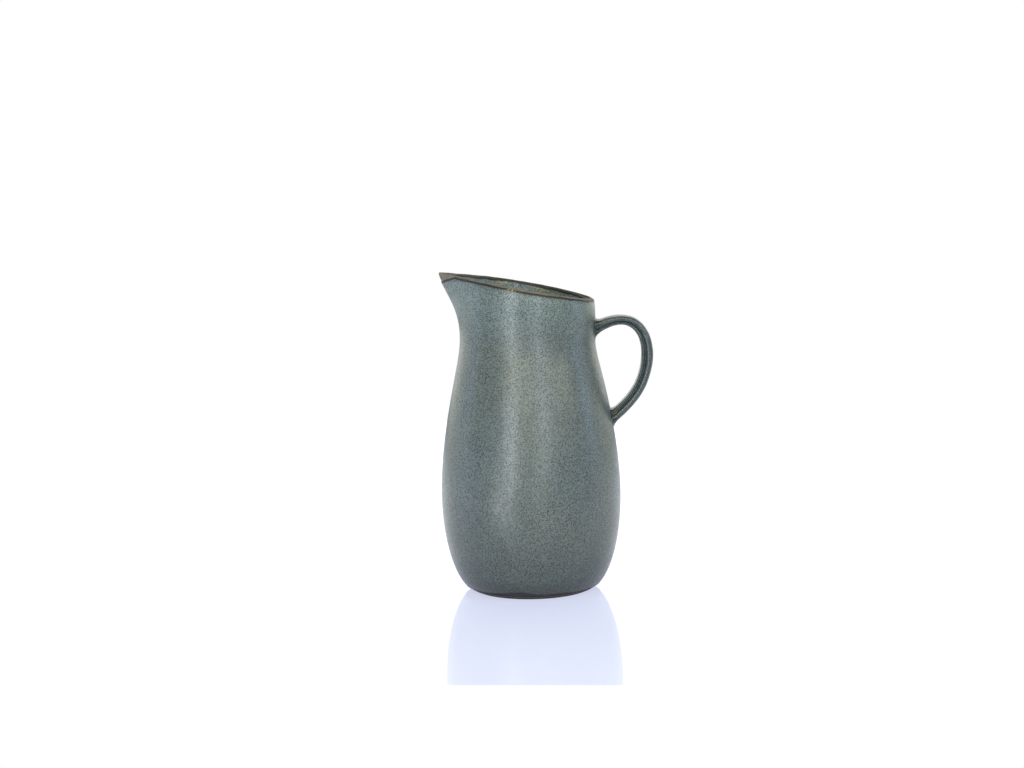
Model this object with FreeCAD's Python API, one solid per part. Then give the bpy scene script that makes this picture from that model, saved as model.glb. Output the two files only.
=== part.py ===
"""A thrown stoneware pitcher with a slanted, beaked mouth, a full belly, a bare foot and a grooved handle.

Millimetres. +Z is up, the handle is towards +X and the beak towards -X. The origin is the centre of the foot
ring, on the surface that the pitcher stands on.
"""
import FreeCAD, Part
import os
from math import acos, atan2, cos, hypot, pi, sin

from FreeCAD import Vector

os.makedirs("parts", exist_ok=True)

# ---- driving dimensions ------------------------------------------------------------------------------
MOUTH_HEIGHT = 237.4        # height of the lip's outer edge on the pitcher's axis
MOUTH_SLOPE = 0.196         # fall of the lip per unit of length, from the beak towards the handle
MOUTH_CROWN = 0.65          # how far the lip bends down again at the two ends of its slope
BELLY_RADIUS = 71.4
NECK_RADIUS = 52.5
FOOT_RADIUS = 46.0          # outer edge of the ring that the pitcher stands on

WALL = 5.0                  # clay wall with its outer coat
LIP_THICKNESS = 4.2
FLOOR_HEIGHT = 9.0          # top of the clay floor
FLOOR_EDGE = 36.0           # the curved wall ends at this radius, and the floor is flat inside it
RECESS_DEPTH = 3.0          # hollow under the floor, inside the foot ring
RECESS_RADIUS = 38.0

COAT = 0.6                  # glaze on the outside
LINER = 0.5                 # glaze inside, under the floor and on the handle
BARE_FOOT = 3.2             # height of the band that is left bare above the ground
BARE_LIP_OUTSIDE = 2.4      # from the top of the lip down to the outer glaze
BARE_LIP_INSIDE = 3.4       # from the top of the lip down to the inner glaze
BEAK_PATCH_START = 5.0      # the bare patch under the beak begins this far in front of the tip,
BEAK_PATCH_DROP = 8.5       # and this far below it,
BEAK_PATCH_CLIMB = 30       # and its lower edge climbs by these degrees towards the mouth

STRAP_WIDTH = 16.0
STRAP_THICKNESS = 9.6
GROOVE_DEPTH = 2.2          # of the groove along each side of the strap

# ---- the vessel's wall -------------------------------------------------------------------------------
# Each ring of the outline: height, radius, reach of the beak from the axis, and how much of the mouth's slope
# the ring has. A ring whose reach is its radius is a circle.
OUTLINE = [
    (0.0, FOOT_RADIUS, FOOT_RADIUS, 0.0),
    (1.5, 50.3, 50.3, 0.0),
    (6.0, 55.3, 55.3, 0.0),
    (17.0, 61.5, 61.5, 0.0),
    (38.0, 67.9, 67.9, 0.0),
    (70.0, BELLY_RADIUS, BELLY_RADIUS, 0.0),
    (106.0, 69.4, 69.4, 0.0),
    (142.0, 63.8, 63.8, 0.0),
    (171.0, 57.5, 57.5, 0.05),
    (194.0, NECK_RADIUS - 0.2, NECK_RADIUS - 0.2, 0.30),
    (213.0, NECK_RADIUS + 0.3, 54.9, 0.60),
    (228.0, NECK_RADIUS + 0.9, 65.7, 0.85),
    (MOUTH_HEIGHT, NECK_RADIUS + 0.1, 71.6, 1.0),
]
LIP_RISE = 1.6              # the lip's rounded top stands this far above its outer edge
COLUMNS = 72                # control points round each ring
LINER_SECTORS = 4           # the inner coat is drawn in quarters
SEAM_ANGLE = pi / 2         # the surfaces close at the back, away from beak and handle
DEGREE = 3

# A cubic spline runs inside its control ring, so the ring is drawn larger by this factor.
RING_GAIN = 6 / (4 + 2 * cos(2 * pi / COLUMNS))


def ring(height, radius, reach, tilt):
    """Control points of one closed ring: an arc, and two tangents that meet at the beak's tip."""
    points = []
    beak_half_angle = acos(min(1.0, radius / reach))
    for column in range(COLUMNS):
        angle = SEAM_ANGLE + 2 * pi * column / COLUMNS
        from_beak = abs(atan2(sin(angle - pi), cos(angle - pi)))
        distance = RING_GAIN * radius / cos(max(0.0, beak_half_angle - from_beak))
        x = distance * cos(angle)
        y = distance * sin(angle)
        fall = MOUTH_SLOPE * x + MOUTH_CROWN * (x / NECK_RADIUS) ** 2
        points.append(Vector(x, y, height - tilt * fall))
    return points


def wall_rings(outside, inside):
    """Rings up the outside, over the lip and down the inside to the floor.

    outside and inside are how far the surface lies under the finished outer face, and over the clay inside.
    """
    rings = []
    for height, radius, reach, tilt in OUTLINE:
        inset_radius = radius - outside
        rings.append(ring(height, inset_radius, inset_radius * reach / radius, tilt))

    lip_height, lip_radius, lip_reach, lip_tilt = OUTLINE[-1]
    for inset in (COAT + 0.8, LIP_THICKNESS - 0.8):
        radius = lip_radius - inset
        rings.append(ring(lip_height + LIP_RISE, radius, radius * lip_reach / lip_radius, lip_tilt))

    radius = lip_radius - LIP_THICKNESS - inside
    rings.append(ring(lip_height, radius, radius * lip_reach / lip_radius, lip_tilt))
    for height, radius, reach, tilt in reversed(OUTLINE[4:-1]):
        inset_radius = radius - WALL - inside
        rings.append(ring(height, inset_radius, inset_radius * reach / radius, tilt))

    # the rounded corner between wall and floor
    corner_radius = OUTLINE[3][1] - WALL
    for height, radius in ((10.0, corner_radius - 2), (1.5, corner_radius - 4), (0.0, corner_radius - 11)):
        rings.append(ring(FLOOR_HEIGHT + height + inside, radius - inside, radius - inside, 0.0))
    rings.append(ring(FLOOR_HEIGHT + inside, FLOOR_EDGE, FLOOR_EDGE, 0.0))
    return rings


def spline_surface(rows):
    """A surface that is closed round each row and open across the rows."""
    around = list(range(len(rows[0]) + 1))
    across = list(range(len(rows) - DEGREE + 1))
    across_multiplicity = [DEGREE + 1] + [1] * (len(across) - 2) + [DEGREE + 1]
    surface = Part.BSplineSurface()
    columns = [list(column) for column in zip(*rows)]
    surface.buildFromPolesMultsKnots(
        columns, [1] * len(around), across_multiplicity, around, across, True, False, DEGREE, DEGREE)
    return surface


def cap(surface, station):
    """Flat face inside the closed curve of the surface at a station."""
    return Part.Face(Part.Wire(surface.vIso(station).toShape()))


def solid_from(faces):
    """Closed solid sewn from faces that share their edges."""
    shell = Part.makeShell(faces)
    shell.sewShape()
    solid = Part.Solid(shell)
    if solid.Volume < 0:
        solid.reverse()
    return solid


def sectors(count):
    """Start and end of each of count equal sectors round a closed surface."""
    edges = [COLUMNS * sector / count for sector in range(count + 1)]
    return zip(edges, edges[1:])


def band(surface, first, last, count=1):
    """Faces of a closed surface between two stations, one for each of count sectors."""
    return [surface.toShape(start, end, first, last) for start, end in sectors(count)]


def edge_ring(station, count=1):
    """Narrow faces between the clay and the glaze, all round, at a station."""
    faces = []
    for start, end in sectors(count):
        clay_edge = clay_surface.vIso(station).toShape(start, end)
        glaze_edge = glaze_surface.vIso(station).toShape(start, end)
        faces.append(Part.makeRuledSurface(clay_edge, glaze_edge))
    return faces


def station_at_height(surface, low, high, height):
    """Station between low and high where the surface, at its seam, passes a height."""
    rising = surface.value(0, high).z > surface.value(0, low).z
    for _ in range(50):
        middle = (low + high) / 2
        below = surface.value(0, middle).z < height
        if below == rising:
            low = middle
        else:
            high = middle
    return (low + high) / 2


clay_surface = spline_surface(wall_rings(outside=COAT, inside=0.0))
glaze_surface = spline_surface(wall_rings(outside=0.0, inside=LINER))
last_station = clay_surface.bounds()[3]
lip_station = len(OUTLINE) - 0.5
lip_top = max(clay_surface.value(0, lip_station + step / 20).z for step in range(-30, 31))


def filled_vessel(surface):
    """Everything inside the wall's outer face as one block, closed by a cone whose point is in the mouth."""
    top = len(OUTLINE) - 2
    edge = Part.Wire(surface.vIso(top).toShape())
    lid = Part.makeLoft([edge, Part.Vertex(0, 0, MOUTH_HEIGHT)], False, True)
    return solid_from(band(surface, 0, top) + [cap(surface, 0)] + lid.Faces)


def make_stoneware_body():
    ends = [cap(clay_surface, 0), cap(clay_surface, last_station)]
    whole = solid_from(band(clay_surface, 0, last_station) + ends)
    recess = Part.makeCone(RECESS_RADIUS + 1, RECESS_RADIUS, RECESS_DEPTH)
    return whole.cut(recess)


def make_body_glaze(fittings):
    """Outer coat, from above the foot to under the lip, open where the handle is luted on."""
    foot_edge = station_at_height(clay_surface, 0, 4, BARE_FOOT)
    lip_edge = station_at_height(clay_surface, 6, lip_station - 1, lip_top - BARE_LIP_OUTSIDE)
    faces = band(clay_surface, foot_edge, lip_edge) + band(glaze_surface, foot_edge, lip_edge)
    skin = solid_from(faces + edge_ring(foot_edge) + edge_ring(lip_edge))
    skin = skin.cut(bare_beak())
    for fitting in fittings:
        skin = skin.cut(fitting)
    return skin


def bare_beak():
    """Block round the beak's tip, where the outside is left bare: its lower face climbs towards the mouth."""
    tip_x = -OUTLINE[-1][2]
    tip_z = MOUTH_HEIGHT - MOUTH_SLOPE * tip_x
    length, width, height = 30, 60, 20
    block = Part.makeBox(length, width, height, Vector(0, -width / 2, 0))
    block.rotate(Vector(0, 0, 0), Vector(0, 1, 0), -BEAK_PATCH_CLIMB)
    block.translate(Vector(tip_x - BEAK_PATCH_START, 0, tip_z - BEAK_PATCH_DROP))
    return block


def make_liner_glaze():
    """Inner coat, from under the lip down to the floor and across it."""
    lip_edge = station_at_height(clay_surface, lip_station + 1, lip_station + 4, lip_top - BARE_LIP_INSIDE)
    wall = edge_ring(lip_edge, LINER_SECTORS)
    floor = []
    for surface in (clay_surface, glaze_surface):
        wall += band(surface, lip_edge, last_station, LINER_SECTORS)
        floor.append(cap(surface, last_station))
    return solid_from(wall + floor)


def make_underside_glaze():
    radius = RECESS_RADIUS - 1.5
    return Part.makeCylinder(radius, LINER, Vector(0, 0, RECESS_DEPTH - LINER))


# ---- the handle --------------------------------------------------------------------------------------
# Centreline of the strap in the plane Y = 0, from inside the neck wall, over the arch, to inside the shoulder
# wall: x, z, and the strap's thickness there as a share of STRAP_THICKNESS.
CENTRELINE = [
    (47.9, 202.3, 0.98),
    (59.8, 209.3, 0.95),
    (72.8, 212.5, 0.78),
    (84.5, 208.5, 0.95),
    (91.9, 198.0, 0.95),
    (93.9, 183.8, 0.97),
    (91.3, 168.4, 0.95),
    (84.3, 152.5, 0.94),
    (72.8, 140.7, 0.94),
    (59.3, 129.8, 0.92),
]


def strap_section(inset):
    """Control points round the strap: out from the loop, and sideways. A large outer lobe, the groove on each
    side, and a smaller inner lobe."""
    half_thickness = STRAP_THICKNESS / 2 - inset
    half_width = STRAP_WIDTH / 2 - inset
    groove = half_width - GROOVE_DEPTH
    half = [
        (half_thickness, 0.52 * half_width),
        (0.84 * half_thickness, 0.96 * half_width),
        (0.30 * half_thickness, 1.05 * half_width),
        (-0.18 * half_thickness, 0.92 * half_width),
        (-0.40 * half_thickness, groove),
        (-0.62 * half_thickness, 0.90 * half_width),
        (-0.96 * half_thickness, 0.86 * half_width),
        (-1.04 * half_thickness, 0.42 * half_width),
    ]
    mirrored = [(out, -side) for out, side in reversed(half)]
    return [(half_thickness, 0.0)] + half + mirrored


def strap_solid(inset):
    rows = []
    for index, (x, z, share) in enumerate(CENTRELINE):
        before = CENTRELINE[max(index - 1, 0)]
        after = CENTRELINE[min(index + 1, len(CENTRELINE) - 1)]
        along_x = after[0] - before[0]
        along_z = after[1] - before[1]
        length = hypot(along_x, along_z)
        out_x = -along_z / length
        out_z = along_x / length
        row = []
        for out, side in strap_section(inset):
            row.append(Vector(x + share * out * out_x, side, z + share * out * out_z))
        rows.append(row)
    surface = spline_surface(rows)
    end = surface.bounds()[3]
    return solid_from([surface.toShape(), cap(surface, 0), cap(surface, end)])


JOINT_COLUMNS = 24          # points round each end of a joint
JOINT_GRIP = 0.9            # luting clay round the strap, at the joint's outer end
JOINT_FLARE = 4.5           # how much wider than the strap a joint is at its root
# Each joint: x and z of its root in the wall, half its height there, x and z of its outer end, and the
# direction of the strap there, in radians above +X.
UPPER_JOINT = (49.0, 205.0, 9.6, 58.0, 208.0, 0.42)
LOWER_JOINT = (60.5, 134.5, 11.0, 69.8, 137.6, 0.70)


def ellipse_wire(x, z, half_height, half_width, climb):
    """Ellipse across the direction that climbs at an angle, in radians, above +X."""
    centre = Vector(x, 0, z)
    upward = Vector(-sin(climb), 0, cos(climb))
    points = []
    for step in range(JOINT_COLUMNS):
        angle = 2 * pi * step / JOINT_COLUMNS
        points.append(centre + upward * (half_height * cos(angle)) + Vector(0, half_width * sin(angle), 0))
    curve = Part.BSplineCurve()
    curve.interpolate(points, PeriodicFlag=True)
    return Part.Wire(curve.toShape())


def joint_block(joint, inset):
    root_x, root_z, root_half_height, end_x, end_z, climb = joint
    root = ellipse_wire(root_x, root_z, root_half_height - inset, STRAP_WIDTH / 2 + JOINT_FLARE - inset, 0.0)
    end_half_height = STRAP_THICKNESS / 2 + JOINT_GRIP - inset
    end_half_width = STRAP_WIDTH / 2 + JOINT_GRIP - inset
    end_x -= inset * cos(climb)
    end_z -= inset * sin(climb)
    end = ellipse_wire(end_x, end_z, end_half_height, end_half_width, climb)
    return Part.makeLoft([root, end], True, True)


strap_clay = strap_solid(LINER)
upper_clay = joint_block(UPPER_JOINT, LINER)
lower_clay = joint_block(LOWER_JOINT, LINER)
clay_vessel = filled_vessel(clay_surface)
glazed_vessel = filled_vessel(glaze_surface)
joint_whole = {"upper_handle_joint": upper_clay, "lower_handle_joint": lower_clay}


def make_handle_strap():
    return strap_clay.cut(clay_vessel)


def make_joint(name):
    return joint_whole[name].cut(clay_vessel).cut(strap_clay)


def make_handle_glaze():
    """Coat over the strap and both joints, down to the glaze on the wall."""
    skin = strap_solid(0.0).fuse(joint_block(UPPER_JOINT, 0.0)).fuse(joint_block(LOWER_JOINT, 0.0))
    for clay in (strap_clay, upper_clay, lower_clay, glazed_vessel):
        skin = skin.cut(clay)
    return skin


def save(name, shape):
    solids = shape.Solids
    print(f"{name}: {len(solids)} solid, valid {shape.isValid()}, {shape.Volume / 1000:.2f} cm3")
    kept = solids[0] if len(solids) == 1 else Part.makeCompound(solids)
    kept.exportStep(f"parts/{name}.step")


save("stoneware_body", make_stoneware_body())
save("body_glaze", make_body_glaze([strap_clay, upper_clay, lower_clay]))
save("liner_glaze", make_liner_glaze())
save("underside_glaze", make_underside_glaze())
save("handle_strap", make_handle_strap())
for joint_name in joint_whole:
    save(joint_name, make_joint(joint_name))
save("handle_glaze", make_handle_glaze())
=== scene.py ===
"""The looks of a speckled stoneware pitcher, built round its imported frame.

Metres. +Z is up, the handle is towards +X and the beak towards -X. The origin is the foot ring's centre.
Sizes below are in drawing millimetres, and MM turns one of them into metres of the frame. Angles round the
pitcher run from +X towards +Y.
"""

from math import cos, pi, radians, sin

import bpy
import numpy as np
from mathutils import Matrix, Vector, noise


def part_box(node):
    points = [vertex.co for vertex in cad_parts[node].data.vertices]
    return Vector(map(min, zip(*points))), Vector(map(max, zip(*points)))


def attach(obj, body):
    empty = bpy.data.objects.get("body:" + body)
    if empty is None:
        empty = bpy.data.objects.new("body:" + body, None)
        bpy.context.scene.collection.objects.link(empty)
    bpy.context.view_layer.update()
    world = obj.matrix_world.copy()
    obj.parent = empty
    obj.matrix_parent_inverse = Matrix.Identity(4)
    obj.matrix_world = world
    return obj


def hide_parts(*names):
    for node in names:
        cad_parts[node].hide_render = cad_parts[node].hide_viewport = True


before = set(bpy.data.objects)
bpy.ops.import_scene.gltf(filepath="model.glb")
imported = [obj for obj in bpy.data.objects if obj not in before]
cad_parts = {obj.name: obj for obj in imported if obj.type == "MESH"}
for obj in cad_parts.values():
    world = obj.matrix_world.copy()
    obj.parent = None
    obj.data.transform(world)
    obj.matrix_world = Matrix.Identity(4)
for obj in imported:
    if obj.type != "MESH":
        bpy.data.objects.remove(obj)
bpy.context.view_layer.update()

# ---- sizes ---------------------------------------------------
body_low, body_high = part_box("body_glaze")
DRAWN_BELLY_WIDTH = 141.08      # the belly's width over the glaze, in drawing millimetres
MM = (body_high[1] - body_low[1]) / DRAWN_BELLY_WIDTH

MOUTH_HEIGHT = 237.4
MOUTH_SLOPE = 0.196             # of the mouth, down towards the handle
MOUTH_CROWN = 0.65              # further that the mouth falls at the neck's radius, on both sides
NECK_RADIUS = 52.5
WALL = 5.0
LIP_THICKNESS = 4.2
LIP_RISE = 1.6
LIP_ROUND = 0.8                 # from the lip's faces in to the rings of its crest
FLOOR_HEIGHT = 9.0
FLOOR_RADIUS = 36.0             # of the floor's last ring
RECESS_DEPTH = 3.0
RECESS_RADIUS = 38.0

# The glaze: how thick it is, and where it stops.
COAT = 0.6
LINER = 0.5
BARE_FOOT = 4.3
BARE_LIP_OUTSIDE = 1.3
BARE_LIP_INSIDE = 1.2
LIP_GAIN = 0.6                  # higher on the lip the outer glaze ends towards the beak
BEAK_START = 55.0               # the bare patch under the beak grows from here, from the axis
BEAK_END = 70.0
BEAK_DIP = 7.3                  # further down the beak's front the outer glaze ends
DRIP_ANGLE = 258.0              # of the dark run at the foot, in degrees
DRIP_WIDTH = radians(11.0)
DRIP_FALL = 0.5                 # lower that the glaze hangs at the run
DRIP_HEIGHT = 3.4               # that the run stains above the glaze's edge
AMBER_ANGLE = 257.0             # of the amber spot at the lip's edge, in degrees
AMBER_WIDTH = radians(3.4)
AMBER_DEPTH = 1.5               # of the spot, from the glaze's edge
GLINT_ANGLES = (115.0, 76.0)    # of the painted yellow glints inside the far wall, in degrees
GLINT_WIDTH = radians(8.0)
GLINT_DEPTH = 2.6               # of the glints below the inner glaze's edge
GLINT_HEIGHT = 0.9

# Unevenness of the glaze's edges: a seed, then how often each wave repeats round the pitcher and its height.
FOOT_EDGE = (11, (3, 0.25), (7, 0.2), (13, 0.12), (29, 0.06))
OUTER_LIP_EDGE = (12, (2, 0.15), (5, 0.2), (17, 0.1), (31, 0.07))
INNER_LIP_EDGE = (21, (2, 0.2), (6, 0.2), (15, 0.15), (33, 0.08))
UNDERSIDE_EDGE = (31, (3, 0.2), (8, 0.15), (19, 0.08))

# Rings of the vessel's outline: height, radius, reach of the beak, share of the mouth's slope.
OUTLINE = [
    (0.0, 46.0, 46.0, 0.0),
    (1.5, 50.3, 50.3, 0.0),
    (6.0, 55.3, 55.3, 0.0),
    (17.0, 61.5, 61.5, 0.0),
    (38.0, 67.9, 67.9, 0.0),
    (70.0, 71.4, 71.4, 0.0),
    (106.0, 69.4, 69.4, 0.0),
    (142.0, 63.8, 63.8, 0.0),
    (171.0, 57.5, 57.5, 0.05),
    (194.0, 52.3, 52.3, 0.30),
    (213.0, 52.8, 54.9, 0.60),
    (228.0, 53.4, 65.7, 0.85),
    (MOUTH_HEIGHT, 52.6, 71.6, 1.0),
]
CORNER_RING = 3                 # of the outline, where the inside turns in towards the floor
# Rings round the floor's corner: height over the floor, and inset from the wall of the corner ring.
FLOOR_CORNER = [
    (10.0, 2.0),
    (1.5, 4.0),
    (0.0, 11.0),
]
# The ground face of the foot ring and the step up into the recess: radius, height.
FOOT_PROFILE = [
    (45.0, 0.0),
    (43.6, 0.0),
    (40.6, 0.0),
    (39.4, 0.35),
    (38.9, 1.2),
    (38.3, 2.6),
    (37.6, RECESS_DEPTH),
    (36.5, RECESS_DEPTH),
]
DEGREE = 3
CONTROL_COLUMNS = 72
RING_GAIN = 6 / (4 + 2 * cos(2 * pi / CONTROL_COLUMNS))  # keeps a ring's spline on its radius
SEAM_ANGLE = pi / 2
HANDLE_TURN = 0.75              # from the seam round to the handle

# Stations count along the wall's control rings, up the outside and down the inside.
COLUMNS = 256                   # of the finished meshes, round the vessel
OUTSIDE_END = len(OUTLINE) - 1.5  # station where the outside turns over into the lip
LIP_CREST = len(OUTLINE) - 0.5  # station of the lip's top
FOOT_STATIONS = (0.0, 4.0)      # the glaze starts between these
NECK_STATIONS = (6.0, OUTSIDE_END)  # the outer glaze ends between these
INSIDE_STATIONS = (LIP_CREST + 0.6, LIP_CREST + 4.0)  # the inner glaze starts between these
HALVINGS = 30                   # of those spans, in search of the glaze's edge


# ---- spline arithmetic ---------------------------------------
def clamped_knots(count):
    """Knots of a uniform cubic spline that starts and ends on its end points."""
    inner = np.arange(count - DEGREE + 1, dtype=float)
    return np.concatenate([np.zeros(DEGREE), inner, np.full(DEGREE, inner[-1])])


def clamped_weights(count, stations):
    """Weight of each of count control rows at every station, on a uniform clamped cubic spline."""
    knots = clamped_knots(count)
    stations = np.clip(np.asarray(stations, dtype=float), knots[0], knots[-1] - 1e-9)
    weights = ((knots[:-1] <= stations[..., None]) & (stations[..., None] < knots[1:])).astype(float)
    for degree in range(1, DEGREE + 1):
        size = weights.shape[-1] - 1
        rise_span = knots[degree:degree + size] - knots[:size]
        fall_span = knots[degree + 1:degree + 1 + size] - knots[1:1 + size]
        rise = np.divide(
            stations[..., None] - knots[:size], rise_span, out=np.zeros(stations.shape + (size,)),
            where=rise_span > 0)
        fall = np.divide(
            knots[degree + 1:degree + 1 + size] - stations[..., None], fall_span,
            out=np.zeros(stations.shape + (size,)), where=fall_span > 0)
        weights = rise * weights[..., :-1] + fall * weights[..., 1:]
    return weights


def closed_weights(count, turns):
    """Weight of each of count control columns at every turn (0 to 1) round a closed cubic spline."""
    place = np.asarray(turns, dtype=float) * count
    first = np.floor(place).astype(int)
    share = place - first
    parts = [
        (1 - share) ** 3, 3 * share ** 3 - 6 * share ** 2 + 4,
        -3 * share ** 3 + 3 * share ** 2 + 3 * share + 1, share ** 3]
    weights = np.zeros(place.shape + (count,))
    rows = np.arange(len(place))
    for step, part in enumerate(parts):
        weights[rows, (first + step - 1) % count] += part / 6
    return weights


# ---- the vessel's wall ---------------------------------------
def ring(height, radius, reach, tilt):
    """Control points of one ring: an arc, and two tangents that meet at the beak's tip."""
    angle = SEAM_ANGLE + 2 * pi * np.arange(CONTROL_COLUMNS) / CONTROL_COLUMNS
    from_beak = np.abs((angle % (2 * pi)) - pi)
    beak_half_angle = np.arccos(min(1.0, radius / reach))
    distance = RING_GAIN * radius / np.cos(np.maximum(0, beak_half_angle - from_beak))
    x = distance * np.cos(angle)
    y = distance * np.sin(angle)
    fall = MOUTH_SLOPE * x + MOUTH_CROWN * (x / NECK_RADIUS) ** 2
    return np.stack([x, y, height - tilt * fall], axis=-1)


def wall_net(outside=COAT, inside=0.0):
    """Rings up the outside, over the lip and down the inside to the floor."""
    rings = []
    for height, radius, reach, tilt in OUTLINE:
        rings.append(ring(height, radius - outside, (radius - outside) * reach / radius, tilt))
    lip_height, lip_radius, lip_reach, lip_tilt = OUTLINE[-1]
    for inset in (COAT + LIP_ROUND, LIP_THICKNESS - LIP_ROUND):
        radius = lip_radius - inset
        rings.append(ring(lip_height + LIP_RISE, radius, radius * lip_reach / lip_radius, lip_tilt))
    radius = lip_radius - LIP_THICKNESS - inside
    rings.append(ring(lip_height, radius, radius * lip_reach / lip_radius, lip_tilt))
    for height, radius, reach, tilt in reversed(OUTLINE[CORNER_RING + 1:-1]):
        inset_radius = radius - WALL - inside
        rings.append(ring(height, inset_radius, inset_radius * reach / radius, tilt))
    corner_radius = OUTLINE[CORNER_RING][1] - WALL
    for height, inset in FLOOR_CORNER:
        radius = corner_radius - inset - inside
        rings.append(ring(FLOOR_HEIGHT + height + inside, radius, radius, 0.0))
    rings.append(ring(FLOOR_HEIGHT + inside, FLOOR_RADIUS, FLOOR_RADIUS, 0.0))
    return np.array(rings)


CLAY_NET = wall_net()
LAST_STATION = len(CLAY_NET) - DEGREE
TURNS = np.arange(COLUMNS) / COLUMNS
AROUND = closed_weights(CONTROL_COLUMNS, TURNS)
ANGLES = SEAM_ANGLE + 2 * pi * TURNS


def wall_points(stations):
    """Points of the clay's face: stations is rows by columns, one station for each column of each row."""
    along = clamped_weights(len(CLAY_NET), stations)
    columns = np.einsum("jc,kcx->kjx", AROUND, CLAY_NET)
    return np.einsum("ijk,kjx->ijx", along, columns)


def grid_normals(points):
    """Unit normals of a grid that closes round its columns, pointing away from the clay."""
    across = np.roll(points, -1, axis=1) - np.roll(points, 1, axis=1)
    along = np.gradient(points, axis=0)
    normal = np.cross(across, along)
    return normal / np.maximum(np.linalg.norm(normal, axis=-1, keepdims=True), 1e-12)


NOISE_SHIFT = (17.3, 5.7, 11.9)  # from one seed's noise to the next


def smooth_noise(points, size, seed):
    """Noise from -1 to 1 with features of a size, in drawing millimetres."""
    shift = Vector([seed * step for step in NOISE_SHIFT])
    flat = points.reshape(-1, 3) / size
    values = np.array([noise.noise(Vector(point) + shift) for point in flat])
    return values.reshape(points.shape[:-1])


def ring_noise(seed, *waves):
    """Uneven line round the vessel: a sum of waves, each given as how often it repeats and its height."""
    draw = np.random.default_rng(seed)
    line = np.zeros(COLUMNS)
    for repeats, height in waves:
        line += height * np.sin(repeats * ANGLES + draw.uniform(0, 2 * pi))
    return line


def station_at(height, low, high):
    """Station of each column where the clay's face is at a height, which is one number for each column."""
    low = np.full(COLUMNS, float(low))
    high = np.full(COLUMNS, float(high))
    rising = wall_points(high[None])[0, :, 2] > wall_points(low[None])[0, :, 2]
    for _ in range(HALVINGS):
        middle = (low + high) / 2
        below = wall_points(middle[None])[0, :, 2] < height
        upper_half = below == rising
        low = np.where(upper_half, middle, low)
        high = np.where(upper_half, high, middle)
    return (low + high) / 2


# ---- meshes --------------------------------------------------
def mesh_from(name, points, faces, weights=None):
    """Object from points in drawing millimetres. Materials read the weights, a number for each point."""
    mesh = bpy.data.meshes.new(name)
    mesh.from_pydata((np.asarray(points) * MM).tolist(), [], faces)
    for key, values in (weights or {}).items():
        attribute = mesh.attributes.new(key, "FLOAT", "POINT")
        attribute.data.foreach_set("value", np.asarray(values, dtype=np.float32).ravel())
    mesh.validate()
    mesh.shade_smooth()
    piece = bpy.data.objects.new(name, mesh)
    bpy.context.collection.objects.link(piece)
    return piece


def grid_faces(rows, columns, closed_rows=False):
    """Quads of a grid that closes round its columns, and over its rows too if closed_rows."""
    faces = []
    for row in range(rows if closed_rows else rows - 1):
        this_row = row * columns
        next_row = ((row + 1) % rows) * columns
        for column in range(columns):
            after = (column + 1) % columns
            faces.append((this_row + column, this_row + after, next_row + after, next_row + column))
    return faces


def fan(centre, first, columns, flip=False):
    """Triangles from a middle point to a closed row."""
    faces = []
    for column in range(columns):
        after = (column + 1) % columns
        edge = (first + after, first + column) if flip else (first + column, first + after)
        faces.append((centre, *edge))
    return faces


def eased(count, crowd):
    """Numbers from 0 to 1, crowded towards both ends."""
    even = np.linspace(0, 1, count)
    return even + crowd * (-np.sin(2 * pi * even) / (2 * pi))


LIP_START = OUTSIDE_END - 1.6  # the clay's rows lie closer between these stations
LIP_END = OUTSIDE_END + 4.0
OUTSIDE_ROWS = 46
LIP_ROWS = 72
INSIDE_ROWS = 44
LIP_SPREAD = 1.2                # stations over which the lip's unevenness fades
LIP_SINK = 0.12                 # of the uneven lip under its nominal face
INSIDE_START = 0.2              # stations past the lip's crest where the darker clay and painted shade inside start
INSIDE_FADE = 0.6               # stations over which it sets in
SHADE_START = -64.0             # the darker clay and painted shade deepen from the beak, from here across the mouth
SHADE_RUN = 34.0
SHADE_LEAST = 0.2


def make_stoneware():
    """Clay wall: foot ring, outside, lip, inside and floor in one closed mesh."""
    outside = np.linspace(0, LIP_START, OUTSIDE_ROWS)[:-1]
    lip = np.linspace(LIP_START, LIP_END, LIP_ROWS)[:-1]
    inside = np.linspace(LIP_END, LAST_STATION, INSIDE_ROWS)
    stations = np.concatenate([outside, lip, inside])
    wall = wall_points(np.repeat(stations[:, None], COLUMNS, axis=1))
    normals = grid_normals(wall)
    near_lip = np.exp(-((stations - LIP_CREST) / LIP_SPREAD) ** 2)[:, None]
    uneven = 0.16 * smooth_noise(wall, 9.0, 3) + 0.07 * smooth_noise(wall, 3.0, 4)
    wall = wall + normals * (near_lip * (uneven - LIP_SINK))[..., None]

    circle = np.stack([np.cos(ANGLES), np.sin(ANGLES), np.zeros(COLUMNS)], axis=-1)
    foot = []
    for radius, height in FOOT_PROFILE:
        foot.append(circle * radius + np.array([0, 0, height]))
    rows = list(reversed(foot)) + list(wall)
    points = np.array(rows).reshape(-1, 3)
    under_centre = len(points)
    floor_centre = under_centre + 1
    points = np.vstack([points, [[0, 0, RECESS_DEPTH], [0, 0, FLOOR_HEIGHT]]])
    faces = grid_faces(len(rows), COLUMNS)
    faces += fan(under_centre, 0, COLUMNS, flip=True)
    faces += fan(floor_centre, (len(rows) - 1) * COLUMNS, COLUMNS)
    # darker clay with painted shade inside the mouth, least near the beak
    past_crest = np.clip((stations - LIP_CREST - INSIDE_START) / INSIDE_FADE, 0, 1)[:, None]
    inside_shade_share = past_crest * np.clip((wall[..., 0] - SHADE_START) / SHADE_RUN, SHADE_LEAST, 1)
    inside = np.concatenate([np.zeros(len(foot) * COLUMNS), inside_shade_share.ravel(), [0, 1]])
    piece = mesh_from("stoneware", points, faces, {"inside": inside})
    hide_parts("stoneware_body")
    return piece


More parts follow.
